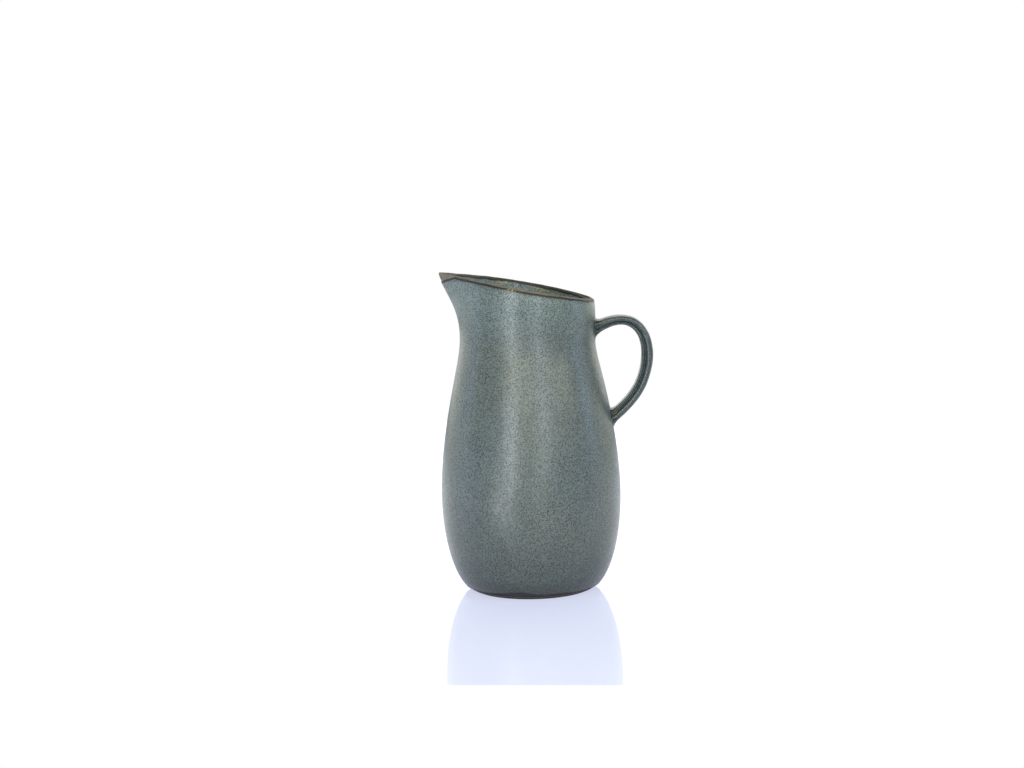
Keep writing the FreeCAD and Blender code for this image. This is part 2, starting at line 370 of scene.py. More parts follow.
SKIN_EDGE = 0.7                 # over which a skin of glaze grows to its thickness
SKIN_SHARE = 0.94               # of the nominal thickness, which leaves room for the waves
EDGE_ROLL = 0.14                # more thickness in the roll along a skin's edge
HIDDEN_DEPTH = 0.12             # the unseen face of a skin lies this far under the clay's face
HIDDEN_STEP = 4                 # the unseen face keeps one row in this many
ROW_CROWDING = 0.86
WAVE_SINK = 0.7                 # share of a wave's height by which it lies under the nominal face


def skin(first, last, thickness, rows, edges=2):
    """Outer rows, hidden rows and distance to the nearest edge of a skin of glaze on the clay.

    first and last are stations for each column. The skin grows from nothing to its thickness at its edges,
    which are both ends, or only the first of them where edges is 1.
    """
    share = eased(rows, ROW_CROWDING)[:, None]
    clay = wall_points(first + (last - first) * share)
    normals = grid_normals(clay)
    step = np.linalg.norm(np.diff(clay, axis=0), axis=-1)
    from_first = np.vstack([np.zeros((1, COLUMNS)), np.cumsum(step, axis=0)])
    nearest = np.minimum(from_first, from_first[-1] - from_first) if edges == 2 else from_first
    grown = np.clip(nearest / SKIN_EDGE, 0, 1)
    rounded = np.sqrt(1 - (1 - grown) ** 2)
    roll = EDGE_ROLL * np.exp(-((nearest - 1.4 * SKIN_EDGE) / (0.8 * SKIN_EDGE)) ** 2)
    outer = clay + normals * (rounded * (thickness * (SKIN_SHARE + roll) + gentle_waves(clay)))[..., None]
    hidden = clay - normals * (HIDDEN_DEPTH * grown)[..., None]
    return outer, hidden, nearest


def turn_from(degrees):
    """How far each column lies round the vessel from an angle, in radians."""
    return np.abs((ANGLES - radians(degrees) + pi) % (2 * pi) - pi)


def wave(points, height, size, seed):
    """Unevenness of a coat, which hardly ever rises above the nominal face."""
    return height * (smooth_noise(points, size, seed) - WAVE_SINK)


def gentle_waves(clay):
    """Unevenness of a dipped coat on a thrown wall. The slow waves are drawn out upwards."""
    return wave(clay * np.array([1, 1, 0.7]), 0.09, 34.0, 1) + wave(clay, 0.025, 11.0, 2)


def ring_points(station):
    """Points of the clay's face at one station, all round the vessel."""
    return wall_points(np.full((1, COLUMNS), station))[0]


OUTER_ROWS = 190
LINER_ROWS = 110


def make_outer_coat():
    """Glaze on the outside. It dips at the beak, and hangs a little lower in a dark run at the front."""
    drip = np.exp(-(turn_from(DRIP_ANGLE) / DRIP_WIDTH) ** 2)
    foot_line = BARE_FOOT + ring_noise(*FOOT_EDGE) - DRIP_FALL * drip
    tip = ring_points(OUTSIDE_END)
    beyond = np.clip((-tip[:, 0] - BEAK_START) / (BEAK_END - BEAK_START), 0, 1)
    crest = ring_points(LIP_CREST)[:, 2]
    lip_line = crest - BARE_LIP_OUTSIDE + ring_noise(*OUTER_LIP_EDGE)
    lip_line = lip_line + LIP_GAIN * np.clip(-tip[:, 0] / BEAK_START, 0, 1) ** 2 - BEAK_DIP * beyond
    first = station_at(foot_line, *FOOT_STATIONS)
    last = station_at(lip_line, *NECK_STATIONS)
    outer, hidden, nearest = skin(first, last, COAT, OUTER_ROWS)
    back = list(range(len(hidden) - 2, 0, -HIDDEN_STEP))
    rows = list(outer) + [hidden[row] for row in back]
    lower_half = np.linspace(0, 1, len(nearest))[:, None] < 0.5
    run = np.where(lower_half, DRIP_HEIGHT * drip, 0)
    edge = np.concatenate([nearest - run, nearest[back]])
    amber_and_glint = np.zeros(edge.shape)
    amber_and_glint[:len(outer)] = np.exp(-(turn_from(AMBER_ANGLE) / AMBER_WIDTH) ** 4) * (nearest < AMBER_DEPTH)
    amber_and_glint[:len(outer) // 2] = 0
    piece = mesh_from("outer_coat", np.array(rows).reshape(-1, 3),
                      grid_faces(len(rows), COLUMNS, closed_rows=True),
                      {"from_edge": edge, "amber_and_glint": amber_and_glint})
    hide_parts("body_glaze")
    return piece


def make_liner():
    """Glaze inside, from below the lip down and across the floor."""
    lip_line = ring_points(LIP_CREST)[:, 2] - BARE_LIP_INSIDE + ring_noise(*INNER_LIP_EDGE)
    first = station_at(lip_line, *INSIDE_STATIONS)
    last = np.full(COLUMNS, LAST_STATION - 1e-6)
    outer, hidden, nearest = skin(first, last, LINER, LINER_ROWS, edges=1)
    back = list(range(len(hidden) - 1, 0, -HIDDEN_STEP))
    rows = [hidden[row] for row in back] + list(outer)
    edge = np.concatenate([nearest[back], nearest])
    points = np.array(rows).reshape(-1, 3)
    under = len(points)
    top = under + 1
    middle = [[0, 0, FLOOR_HEIGHT - HIDDEN_DEPTH], [0, 0, outer[-1, :, 2].mean()]]
    faces = grid_faces(len(rows), COLUMNS)
    faces += fan(under, 0, COLUMNS, flip=True)
    faces += fan(top, (len(rows) - 1) * COLUMNS, COLUMNS)
    far = nearest[-1].max()
    from_edge = np.append(edge.ravel(), [far, far])
    # painted yellow glints just below the inner glaze's edge
    below_edge = np.exp(-((edge - GLINT_DEPTH) / GLINT_HEIGHT) ** 2)
    glint = below_edge * sum(np.exp(-(turn_from(angle) / GLINT_WIDTH) ** 4) for angle in GLINT_ANGLES)
    amber_and_glint = np.append(glint.ravel(), [0, 0])
    piece = mesh_from("liner", np.vstack([points, middle]), faces, {"from_edge": from_edge, "amber_and_glint": amber_and_glint})
    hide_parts("liner_glaze")
    return piece


UNDERSIDE_GAP = 1.9             # from the recess's wall to the glaze's edge
UNDERSIDE_COAT = LINER * 0.96
UNDERSIDE_WAVE = 0.04
EDGE_ROUND = 0.8                # width of the rounded edge, and its rows
EDGE_ROWS = 7
DISC_SHARES = (0.9, 0.7, 0.45, 0.2)  # rings of the disc, as shares of its radius
FAR_FROM_EDGE = 30.0            # mark of glaze that no edge comes near


def make_underside_coat():
    """Disc of glaze in the recess under the floor, with a rounded, uneven edge."""
    radius = RECESS_RADIUS - UNDERSIDE_GAP + ring_noise(*UNDERSIDE_EDGE)
    rows = []
    edge = []
    for fall in np.linspace(0, pi / 2, EDGE_ROWS):
        inset = EDGE_ROUND * (1 - sin(fall))
        depth = UNDERSIDE_COAT * cos(fall)
        rows.append(np.stack([(radius - inset) * np.cos(ANGLES), (radius - inset) * np.sin(ANGLES),
                              np.full(COLUMNS, RECESS_DEPTH - depth)], axis=-1))
        edge.append(np.full(COLUMNS, inset))
    rows = rows[::-1]
    edge = edge[::-1]
    for share in DISC_SHARES:
        spot = np.stack([share * radius * np.cos(ANGLES), share * radius * np.sin(ANGLES)], axis=-1)
        depth = UNDERSIDE_COAT + UNDERSIDE_WAVE * np.sin(3 * ANGLES + 9 * share)
        rows.append(np.column_stack([spot, RECESS_DEPTH - np.minimum(depth, LINER)]))
        edge.append((1 - share) * radius)
    points = np.array(rows).reshape(-1, 3)
    low = len(points)
    points = np.vstack([points, [[0, 0, RECESS_DEPTH - UNDERSIDE_COAT], [0, 0, RECESS_DEPTH]]])
    faces = grid_faces(len(rows), COLUMNS) + fan(low, (len(rows) - 1) * COLUMNS, COLUMNS)
    faces += fan(low + 1, 0, COLUMNS, flip=True)
    from_edge = np.append(np.array(edge).ravel(), [FAR_FROM_EDGE, FAR_FROM_EDGE])
    piece = mesh_from("underside_coat", points, faces, {"from_edge": from_edge})
    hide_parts("underside_glaze")
    return piece


# ---- the handle ----------------------------------------------
STRAP_WIDTH = 16.0
STRAP_THICKNESS = 9.6
GROOVE_DEPTH = 2.2
# Centreline of the strap, from inside the neck wall to inside the shoulder's: x, z, share of the thickness.
CENTRELINE = [
    (47.9, 202.3, 0.98),
    (59.8, 209.3, 0.95),
    (72.8, 212.5, 0.78),
    (84.5, 208.5, 0.95),
    (91.9, 198.0, 0.95),
    (93.9, 183.8, 0.97),
    (91.3, 168.4, 0.95),
    (84.3, 152.5, 0.94),
    (72.8, 140.7, 0.94),
    (59.3, 129.8, 0.92),
]
STRAP_COLUMNS = 112
STRAP_ROWS = 420
FACE_ROWS = 230                 # of the coat between the flares, with the two that they share
HIDDEN_STRAP_ROWS = 60          # of the coat's unseen face
CLAY_ROWS = 90                  # of the clay strap
PROFILE_ROWS = 400              # of the wall where the handle meets it
UPPER_FLARE = 4.6               # how far the luting clay spreads over the wall and along the strap
LOWER_FLARE = 4.2
FLARE_ROWS = 14
RIM_SMOOTHINGS = 12
FLARE_SINK = 0.12               # of the flares' rims under the face of the body's glaze
COAT_SINK = 0.45                # of the coat's ends under the flares' rims
JOINT_SINK = 0.3                # of the luting clay's rims under the clay wall
STRAP_COAT = LINER
FADE_ROWS = 6                   # over which the coat's waves set in at its ends
GROOVE_PLACE = -0.36            # of the groove's middle, out from the strap's, in half thicknesses
GROOVE_SPREAD = 0.20
SIDE_START = 3.0                # from the strap's middle plane, to keep the marks on its sides
HANDLE_GLINT_ROWS = 8                  # rows from the shoulder wall to the painted glint in the groove
HANDLE_GLINT_SPREAD = 2.5              # rows
HANDLE_GLINT_GROOVE = 0.6              # the painted glint keeps to where the groove is deeper than this share
HANDLE_PAINTED_SHADE = 0.54             # painted shade: how much darker than the vessel the whole handle's glaze is made
BEND_PAINTED_SHADE = 0.75               # how much painted shade darkens the bends of the flares
BEND_START = 0.15               # of the half turn over which a bend's painted shade sets in and clears, in radians


def strap_section(inset):
    """Control points round the strap: out from the loop, and sideways.

    They make a large outer lobe, the groove on each side, and a smaller inner lobe.
    """
    half_thickness = STRAP_THICKNESS / 2 - inset
    half_width = STRAP_WIDTH / 2 - inset
    half = [
        (half_thickness, 0.52 * half_width),
        (0.84 * half_thickness, 0.96 * half_width),
        (0.30 * half_thickness, 1.05 * half_width),
        (-0.18 * half_thickness, 0.92 * half_width),
        (-0.40 * half_thickness, half_width - GROOVE_DEPTH),
        (-0.62 * half_thickness, 0.90 * half_width),
        (-0.96 * half_thickness, 0.86 * half_width),
        (-1.04 * half_thickness, 0.42 * half_width),
    ]
    mirrored = [(out, -side) for out, side in reversed(half)]
    return np.array([(half_thickness, 0.0)] + half + mirrored)


def strap_grid(inset):
    """Dense grid over the whole strap: rows along it, columns round it."""
    line = np.array(CENTRELINE)
    along = np.gradient(line[:, :2], axis=0)
    along[0] = line[1, :2] - line[0, :2]
    along[-1] = line[-1, :2] - line[-2, :2]
    along /= np.linalg.norm(along, axis=1, keepdims=True)
    section = strap_section(inset)
    net = np.zeros((len(line), len(section), 3))
    net[..., 0] = line[:, None, 0] - along[:, None, 1] * section[None, :, 0] * line[:, None, 2]
    net[..., 1] = section[None, :, 1]
    net[..., 2] = line[:, None, 1] + along[:, None, 0] * section[None, :, 0] * line[:, None, 2]
    down = clamped_weights(len(line), np.linspace(0, len(line) - DEGREE, STRAP_ROWS))
    across = closed_weights(len(section), np.arange(STRAP_COLUMNS) / STRAP_COLUMNS)
    return np.einsum("jc,kcx->kjx", across, np.einsum("ik,kcx->icx", down, net))


def wall_profile(outside):
    """Heights and radii of the wall's face under the handle, a distance outside under the finished one."""
    net = wall_net(outside=outside)
    stations = np.linspace(0, OUTSIDE_END, PROFILE_ROWS)
    rows = clamped_weights(len(net), stations)
    side = closed_weights(CONTROL_COLUMNS, [HANDLE_TURN])
    points = np.einsum("ik,jc,kcx->ijx", rows, side, net)[:, 0]
    return points[:, 2], np.hypot(points[:, 0], points[:, 1])


def clearance(points, profile):
    """Distance from the wall, outwards, of points near the handle."""
    return np.hypot(points[..., 0], points[..., 1]) - np.interp(points[..., 2], *profile)


def onto_wall(points, profile, sink=0.0):
    """Points moved straight in or out onto the wall, or sunk under it."""
    radius = np.hypot(points[..., 0], points[..., 1])
    scale = (np.interp(points[..., 2], *profile) - sink) / radius
    return points * np.stack([scale, scale, np.ones_like(scale)], axis=-1)


def row_at(grid, places):
    """Points of the grid at a fractional row for each column."""
    low = np.clip(np.floor(places).astype(int), 0, len(grid) - 2)
    share = (places - low)[:, None]
    columns = np.arange(grid.shape[1])
    return grid[low, columns] * (1 - share) + grid[low + 1, columns] * share


def row_spacing(grid):
    """Mean distance from one row of the strap to the next."""
    return np.linalg.norm(grid[1:] - grid[:-1], axis=-1).mean()


def meeting_rows(grid, profile):
    """Fractional rows where each column of the strap leaves the neck wall and enters the shoulder."""
    gap = clearance(grid, profile)
    middle = STRAP_ROWS // 2
    columns = np.arange(grid.shape[1])
    leaves = middle - 1 - np.argmax(gap[middle - 1::-1] < 0, axis=0)
    enters = middle + np.argmax(gap[middle:] < 0, axis=0)
    first = leaves + gap[leaves, columns] / (gap[leaves, columns] - gap[leaves + 1, columns])
    last = enters - gap[enters, columns] / (gap[enters, columns] - gap[enters - 1, columns])
    return first, last


def flare(grid, profile, meeting, direction, reach):
    """Rows of the luting clay from the wall to the strap, one quadratic curve for each column."""
    corner = row_at(grid, meeting)
    on_strap = row_at(grid, meeting + direction * reach / row_spacing(grid))
    outward = np.roll(corner, -1, axis=0) - np.roll(corner, 1, axis=0)
    centre = corner.mean(axis=0)
    wall_normal = centre * np.array([1, 1, 0]) / np.linalg.norm(centre[:2])
    outward = np.cross(outward, wall_normal)
    outward /= np.linalg.norm(outward, axis=1, keepdims=True)
    facing = np.sign((outward * (corner - centre)).sum())
    rim = corner + facing * outward * reach
    for _ in range(RIM_SMOOTHINGS):
        rim = (np.roll(rim, 1, axis=0) + 2 * rim + np.roll(rim, -1, axis=0)) / 4
    on_wall = onto_wall(rim, profile)
    rows = []
    for share in np.linspace(0, 1, FLARE_ROWS):
        rows.append((1 - share) ** 2 * on_wall + 2 * share * (1 - share) * corner + share ** 2 * on_strap)
    return rows


def handle_flares(inset, wall_inset):
    """The strap's grid, the wall's profile, the rows where they meet, and the rows of both flares.

    The upper flare starts at the neck wall, and the lower one ends at the shoulder wall.
    """
    grid = strap_grid(inset)
    profile = wall_profile(wall_inset)
    first, last = meeting_rows(grid, profile)
    upper = flare(grid, profile, first, 1, UPPER_FLARE)
    lower = flare(grid, profile, last, -1, LOWER_FLARE)[::-1]
    return grid, profile, first, last, upper, lower


def rows_between(grid, first, last):
    """Rows of the strap's face from the upper flare to the lower one."""
    spacing = row_spacing(grid)
    start = first + UPPER_FLARE / spacing
    end = last - LOWER_FLARE / spacing
    return [row_at(grid, start + (end - start) * share) for share in np.linspace(0, 1, FACE_ROWS)[1:-1]]


def section_hollow():
    """How deep each column of the strap lies in the side groove, from 0 to 1."""
    control = strap_section(0.0)
    section = closed_weights(len(control), np.arange(STRAP_COLUMNS) / STRAP_COLUMNS) @ control
    out = section[:, 0] / (STRAP_THICKNESS / 2)
    return np.exp(-((out - GROOVE_PLACE) / GROOVE_SPREAD) ** 2) * (np.abs(section[:, 1]) > SIDE_START)


def make_handle_coat():
    """Glaze over the strap and both flares, with the hidden face against the clay, as one closed mesh."""
    grid, profile, first, last, upper, lower = handle_flares(0.0, FLARE_SINK)
    between = rows_between(grid, first, last)
    clay = strap_grid(STRAP_COAT)
    outer = upper + between + lower
    groove = section_hollow()
    bend = np.concatenate([
        np.sin(np.linspace(BEND_START, pi, FLARE_ROWS)), np.zeros(len(between)),
        np.sin(np.linspace(pi, BEND_START, FLARE_ROWS))])
    outer = np.array(outer)
    normals = grid_normals(outer)
    waves = wave(outer, 0.10, 9.0, 41) + wave(outer, 0.05, 4.0, 42)
    keep = np.clip(np.minimum(np.arange(len(outer)), np.arange(len(outer))[::-1]) / FADE_ROWS, 0, 1)
    from_middle = outer - outer.mean(axis=1, keepdims=True)
    side = np.sign((normals * from_middle).sum(axis=-1, keepdims=True).mean())
    outer = outer + side * normals * (waves * keep[:, None])[..., None]
    # painted shade in the groove, where the glaze also pools, in the bends of the flares and over the whole
    # handle
    pool_and_shade = np.maximum(groove[None, :], BEND_PAINTED_SHADE * bend[:, None])
    pool_and_shade = HANDLE_PAINTED_SHADE + (1 - HANDLE_PAINTED_SHADE) * pool_and_shade

    sunk_start = onto_wall(outer[0], profile, COAT_SINK)
    sunk_end = onto_wall(outer[-1], profile, COAT_SINK)
    inner = []
    for share in np.linspace(1, 0, HIDDEN_STRAP_ROWS):
        inner.append(row_at(clay, first + (last - first) * share))
    rows = [sunk_start] + list(outer) + [sunk_end] + inner
    marks = np.vstack([pool_and_shade[:1], pool_and_shade, pool_and_shade[-1:], np.zeros((len(inner), STRAP_COLUMNS))])
    # painted glint, a warm reflection, in the groove near the shoulder wall
    from_joint = len(outer) - HANDLE_GLINT_ROWS - np.arange(len(rows))
    amber_and_glint = np.exp(-(from_joint[:, None] / HANDLE_GLINT_SPREAD) ** 2) * (groove > HANDLE_GLINT_GROOVE)
    piece = mesh_from("handle_coat", np.array(rows).reshape(-1, 3),
                      grid_faces(len(rows), STRAP_COLUMNS, closed_rows=True),
                      {"pool_and_shade": marks, "from_edge": np.full(marks.shape, FAR_FROM_EDGE), "amber_and_glint": amber_and_glint})
    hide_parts("handle_glaze")
    return piece


def make_strap():
    """Clay strap under the glaze. It runs one row into the wall at both ends."""
    grid = strap_grid(STRAP_COAT)
    profile = wall_profile(COAT)
    first, last = meeting_rows(grid, profile)
    rows = [row_at(grid, first - 1 + (last - first + 2) * share) for share in np.linspace(0, 1, CLAY_ROWS)]
    points = np.array(rows).reshape(-1, 3)
    start = len(points)
    points = np.vstack([points, [rows[0].mean(axis=0), rows[-1].mean(axis=0)]])
    faces = grid_faces(len(rows), STRAP_COLUMNS) + fan(start, 0, STRAP_COLUMNS, flip=True)
    faces += fan(start + 1, (len(rows) - 1) * STRAP_COLUMNS, STRAP_COLUMNS)
    piece = mesh_from("strap", points, faces)
    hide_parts("handle_strap")
    return piece


def make_joints():
    """The two rings of luting clay round the strap's ends."""
    grid, profile, first, last, upper, lower = handle_flares(STRAP_COAT, COAT)
    pieces = []
    for name, rows, meeting in (("upper_joint", upper, first), ("lower_joint", lower[::-1], last)):
        sunk = onto_wall(rows[0], profile, JOINT_SINK)
        under = onto_wall(row_at(grid, meeting), profile, JOINT_SINK)
        loop = [sunk] + rows + [(rows[-1] + under) / 2, under]
        piece = mesh_from(name, np.array(loop).reshape(-1, 3),
                          grid_faces(len(loop), STRAP_COLUMNS, closed_rows=True))
        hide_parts(name.replace("joint", "handle_joint"))
        pieces.append(piece)
    return pieces


# ---- materials -----------------------------------------------
class Graph:
    """A material's nodes, with short calls for the few kinds that are used here."""

    def __init__(self, name):
        self.material = bpy.data.materials.new(name)
        self.material.use_nodes = True
        self.tree = self.material.node_tree
        self.tree.nodes.clear()
        self.shader = self.tree.nodes.new("ShaderNodeBsdfPrincipled")
        output = self.tree.nodes.new("ShaderNodeOutputMaterial")
        self.tree.links.new(self.shader.outputs[0], output.inputs["Surface"])
        self.place = self.tree.nodes.new("ShaderNodeTexCoord").outputs["Object"]

    def feed(self, socket, value):
        """Link a socket's value to the socket, or set it where it is a plain number or colour."""
        if isinstance(value, bpy.types.NodeSocket):
            self.tree.links.new(value, socket)
        else:
            socket.default_value = value

    def set(self, name, value):
        self.feed(self.shader.inputs[name], value)

    def math(self, operation, first, second=0.0, third=0.0):
        node = self.tree.nodes.new("ShaderNodeMath")
        node.operation = operation
        for socket, value in zip(node.inputs, (first, second, third)):
            self.feed(socket, value)
        return node.outputs[0]

    def noise(self, size, detail=2.0, roughness=0.5, stretch=(1.0, 1.0, 1.0), shift=0.0):
        """Noise with features of a size, in drawing millimetres."""
        mapping = self.tree.nodes.new("ShaderNodeMapping")
        self.feed(mapping.inputs["Vector"], self.place)
        mapping.inputs["Location"].default_value = (shift, shift * 0.7, shift * 1.3)
        mapping.inputs["Scale"].default_value = stretch
        node = self.tree.nodes.new("ShaderNodeTexNoise")
        self.feed(node.inputs["Vector"], mapping.outputs[0])
        node.inputs["Scale"].default_value = 1 / (size * MM)
        node.inputs["Detail"].default_value = detail
        node.inputs["Roughness"].default_value = roughness
        return node.outputs["Fac"]

    def cells(self, size, shift=0.0):
        """Distance from the nearest of scattered points, as a share of their spacing, and its number."""
        mapping = self.tree.nodes.new("ShaderNodeMapping")
        self.feed(mapping.inputs["Vector"], self.place)
        mapping.inputs["Location"].default_value = (shift, shift, shift)
        node = self.tree.nodes.new("ShaderNodeTexVoronoi")
        self.feed(node.inputs["Vector"], mapping.outputs[0])
        node.inputs["Scale"].default_value = 1 / (size * MM)
        split = self.tree.nodes.new("ShaderNodeSeparateColor")
        self.tree.links.new(node.outputs["Color"], split.inputs[0])
        return node.outputs["Distance"], split.outputs[0]

    def step(self, value, start, end):
        """0 below start, 1 above end, and smooth between. start may be the larger."""
        node = self.tree.nodes.new("ShaderNodeMapRange")
        node.interpolation_type = "SMOOTHSTEP"
        low, high, first, last = (start, end, 0.0, 1.0) if start < end else (end, start, 1.0, 0.0)
        for socket, number in zip(node.inputs[1:5], (low, high, first, last)):
            socket.default_value = number
        self.feed(node.inputs[0], value)
        return node.outputs[0]

    def blend(self, share, first, second):
        """Colour between two colours: the second one where share is 1."""
        node = self.tree.nodes.new("ShaderNodeMix")
        node.data_type = "RGBA"
        self.feed(node.inputs[0], share)
        self.feed(node.inputs[6], first)
        self.feed(node.inputs[7], second)
        return node.outputs[2]

    def over(self, color, paint, mask, share):
        """Colour with paint over it where the mask is 1, as strong as share."""
        return self.blend(self.math("MULTIPLY", mask, share), color, paint)

    def mark(self, name):
        """A number that the mesh holds for each of its points."""
        node = self.tree.nodes.new("ShaderNodeAttribute")
        node.attribute_name = name
        return node.outputs["Fac"]

    def height(self):
        """Height above the ground, in drawing millimetres."""
        split = self.tree.nodes.new("ShaderNodeSeparateXYZ")
        self.tree.links.new(self.place, split.inputs[0])
        return self.math("DIVIDE", split.outputs[2], MM)

    def bump(self, layers):
        """Bump from pairs of a height, from 0 to 1, and its depth in drawing millimetres."""
        normal = None
        for value, depth in layers:
            node = self.tree.nodes.new("ShaderNodeBump")
            node.inputs["Strength"].default_value = 1.0
            node.inputs["Distance"].default_value = depth * MM
            self.feed(node.inputs["Height"], value)
            if normal is not None:
                self.tree.links.new(normal, node.inputs["Normal"])
            normal = node.outputs[0]
        self.set("Normal", normal)


def srgb(red, green, blue):
    """Colour from 0 to 255 in display values, as the linear colour that a shader takes."""
    linear = []
    for value in (red, green, blue):
        share = value / 255
        linear.append(share / 12.92 if share <= 0.04045 else ((share + 0.055) / 1.055) ** 2.4)
    return (*linear, 1.0)


# Colours of the glaze.
OUTER_BLUE_GREY = srgb(94, 104, 107)
OUTER_GREEN_GREY = srgb(97, 106, 104)
INNER_BLUE_GREY = srgb(122, 138, 150)
INNER_GREEN_GREY = srgb(122, 136, 134)
CLOUD_GREY = srgb(64, 73, 77)
# Painted light towards the lip, and painted shade lower down and at the foot.
HIGH_PAINTED_LIGHT = srgb(124, 142, 142)
LOW_PAINTED_SHADE = srgb(54, 58, 43)
FOOT_PAINTED_SHADE = srgb(42, 45, 32)
GRAIN_DARK = srgb(34, 40, 42)
GRAIN_PALE = srgb(138, 150, 148)
SPECK_BLACK = srgb(14, 20, 23)
PINHOLE = srgb(18, 20, 20)
# Dark near the glaze's edges: glaze breaking dark where it thins, with painted shadow under its raised edge.
EDGE_GREY_AND_SHADE = srgb(46, 53, 53)
THIN_BLACK_AND_SHADOW = srgb(10, 10, 9)
POOLED_BLUE_AND_SHADE = srgb(16, 31, 36)
# Yellow of the amber spot at the lip, and of the painted glints inside and in the handle's groove.
AMBER_AND_GLINT = srgb(186, 172, 108)
# Sizes of its marks, in drawing millimetres.
PATCH_SIZE = 46.0
CLOUD_SIZE = 13.0
GRAIN_SIZE = 0.75
SPECK_SPACING = 1.22
HOLE_SPACING = 13.0
PEEL_SIZE = 2.6
RAGGED_SIZE = 5.0
AMBER_AND_GLINT_SIZE = 1.6
SHEEN_SIZE = 6.0
SWELL_SIZE = 9.0
# Heights from where painted light (high) and painted shade (low, foot) start to where they are full.
HIGH_TINT = (190.0, 232.0)
LOW_TINT = (112.0, 8.0)
FOOT_TINT = (20.0, 5.0)
# Distances from the glaze's edge, in the same order.
EDGE_TINT = (5.0, 1.0)
THIN_TINT = (2.0, 1.4)


def make_glaze(name, blue_grey, green_grey, tint_shift):
    """Satin stoneware glaze: two greys in broad patches, fine iron speckle, pinholes, dark thin edges, and
    painted light, shade and glints.
    """
    g = Graph(name)
    broad = g.noise(PATCH_SIZE, 2.0, 0.45, (1, 1, 0.6), tint_shift)
    patch = g.step(broad, 0.40, 0.62)
    color = g.blend(patch, blue_grey, green_grey)
    cloud = g.noise(CLOUD_SIZE, 3.0, 0.5, (1, 1, 0.7), 3.0)
    color = g.over(color, CLOUD_GREY, g.step(cloud, 0.40, 0.75), 0.25)

    # painted light makes the glaze paler towards the lip, and painted shade makes it darker lower down and
    # at the foot
    height = g.height()
    color = g.over(color, HIGH_PAINTED_LIGHT, g.step(height, *HIGH_TINT), 0.38)
    color = g.over(color, LOW_PAINTED_SHADE, g.step(height, *LOW_TINT), 0.48)
    color = g.over(color, FOOT_PAINTED_SHADE, g.step(height, *FOOT_TINT), 0.60)

    grain = g.noise(GRAIN_SIZE, 2.0, 0.6)
    color = g.over(color, GRAIN_DARK, g.step(grain, 0.50, 0.36), 0.40)
    color = g.over(color, GRAIN_PALE, g.step(grain, 0.54, 0.68), 0.22)

    # iron speckle: one small dark dot for each cell, fainter in some than in others
    distance, number = g.cells(SPECK_SPACING)
    speck = g.math("MULTIPLY", g.step(distance, 0.66, 0.14), g.math("MULTIPLY_ADD", number, 0.5, 0.5))
    color = g.blend(speck, color, SPECK_BLACK)

    hole_distance, hole_number = g.cells(HOLE_SPACING, 0.4)
    hole = g.math("MULTIPLY", g.step(hole_distance, 0.065, 0.035), g.step(hole_number, 0.55, 0.6))
    color = g.over(color, PINHOLE, hole, 0.9)

    # darker near the glaze's edges: thin glaze, with painted shadow under its raised edge
    edge = g.mark("from_edge")
    ragged = g.math("ADD", edge, g.math("MULTIPLY_ADD", g.noise(RAGGED_SIZE, 2.0), 1.0, -0.5))
    near_edge_shade = g.step(ragged, *EDGE_TINT)
    color = g.over(color, EDGE_GREY_AND_SHADE, near_edge_shade, 0.35)
    thin_edge_shadow = g.step(ragged, *THIN_TINT)
    color = g.over(color, THIN_BLACK_AND_SHADOW, thin_edge_shadow, 0.97)
    # pooled glaze and painted shade in the handle's groove, its bends and all over it
    pool_and_shade = g.mark("pool_and_shade")
    color = g.over(color, POOLED_BLUE_AND_SHADE, pool_and_shade, 0.95)
    # amber spot at the lip's edge, and painted glints inside and in the handle's groove
    amber_and_glint = g.math("MULTIPLY", g.mark("amber_and_glint"), g.step(g.noise(AMBER_AND_GLINT_SIZE, 1.0), 0.38, 0.62))
    color = g.over(color, AMBER_AND_GLINT, amber_and_glint, 0.7)
    g.set("Base Color", color)

    rough = g.math("MULTIPLY_ADD", g.noise(SHEEN_SIZE, 3.0), 0.10, 0.26)
    rough = g.math("MULTIPLY_ADD", speck, 0.12, rough)
    rough = g.math("MULTIPLY_ADD", pool_and_shade, -0.12, rough)
    g.set("Roughness", g.math("MULTIPLY_ADD", thin_edge_shadow, 0.15, rough))
    g.shader.inputs["IOR"].default_value = 1.5
    orange_peel = g.noise(PEEL_SIZE, 2.0, 0.5, (1, 1, 1), 5.0)
    g.bump([(g.noise(SWELL_SIZE, 2.0), 0.08), (orange_peel, 0.028), (grain, 0.010),
            (g.math("SUBTRACT", 1.0, hole), 0.05)])
    return g.material


# Colours of the bare clay, sizes of its marks, and the heights of its tints near the foot.
CLAY_LIGHT = srgb(118, 111, 105)
CLAY_DARK = srgb(102, 95, 90)
SAND_DARK = srgb(58, 53, 48)
SAND_PALE = srgb(150, 142, 138)
CLAY_IRON = srgb(48, 38, 30)
INSIDE_CLAY_AND_SHADE = srgb(52, 52, 46)
# Burnt brown at the foot, darkened further by painted contact shadow.
BURNT_FOOT_AND_SHADOW = srgb(26, 22, 17)
RUBBED_CLAY = srgb(104, 94, 80)
CLAY_PATCH_SIZE = 12.0
SAND_SIZE = 0.7
CLAY_SWELL_SIZE = 4.0
IRON_SPACING = 2.4
BURNT_AND_SHADOW_TINT = (8.0, 4.6)
RUBBED_FROM = (1.7, 2.2)
RUBBED_TO = (3.2, 2.7)


